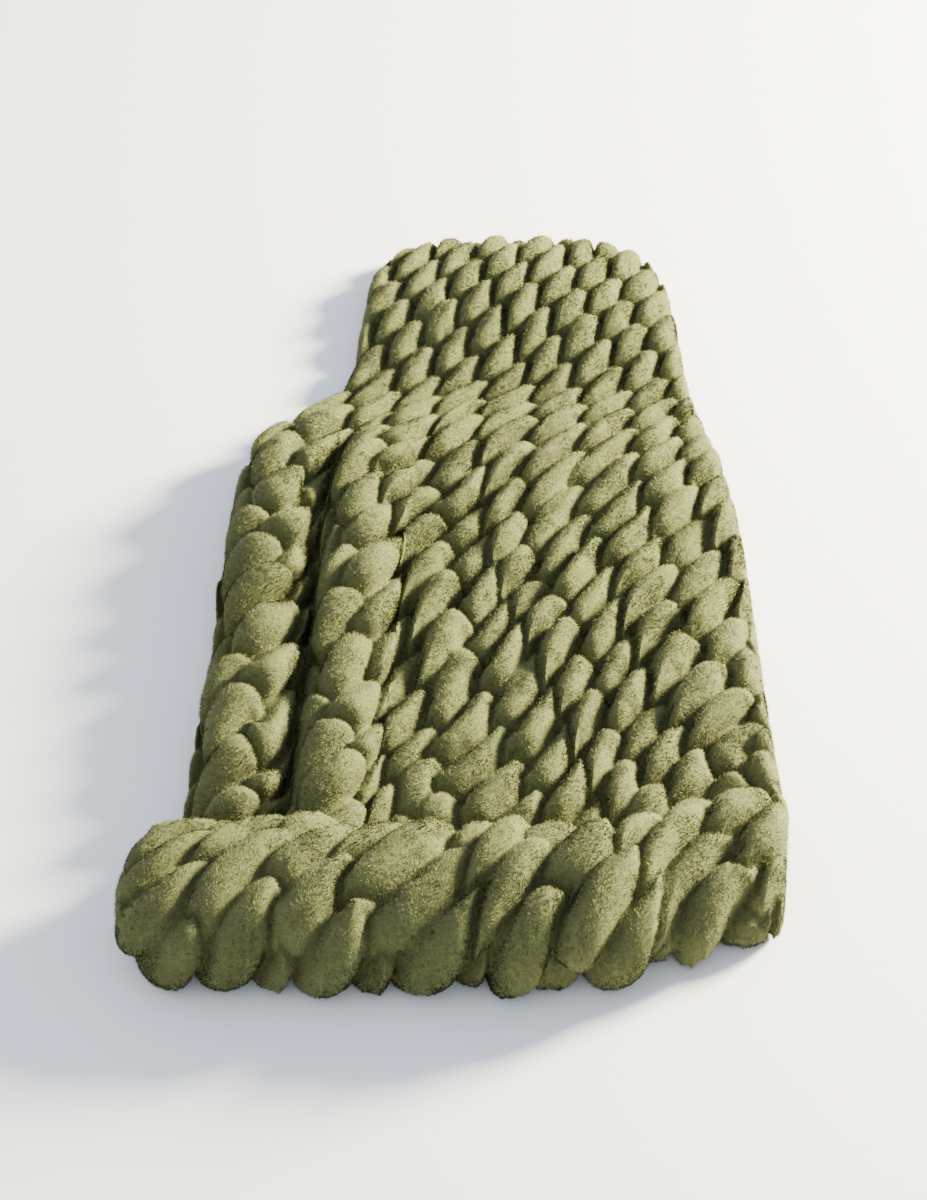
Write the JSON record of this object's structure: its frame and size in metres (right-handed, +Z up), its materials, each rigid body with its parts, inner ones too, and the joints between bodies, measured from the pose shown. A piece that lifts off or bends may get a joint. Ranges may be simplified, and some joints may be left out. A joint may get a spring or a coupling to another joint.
{
  "type": "plush blanket",
  "caption": "Ruched plush blanket laid out, far end drawn narrow, rope-like folds along the left side and the near end turned under in a thick roll.",
  "frame": {"origin": "bottom centre of the bounding box, on the surface that the blanket lies on", "axes": "+X to the right seen from the turned-under near end, +Y along the blanket to the narrow far end, +Z up"},
  "size_m": [0.7462, 1.2806, 0.1336],
  "materials": {
    "plush": "matte short pile"
  },
  "bodies": {
    "root": {"blanket": "plush"}
  },
  "joints": []
}
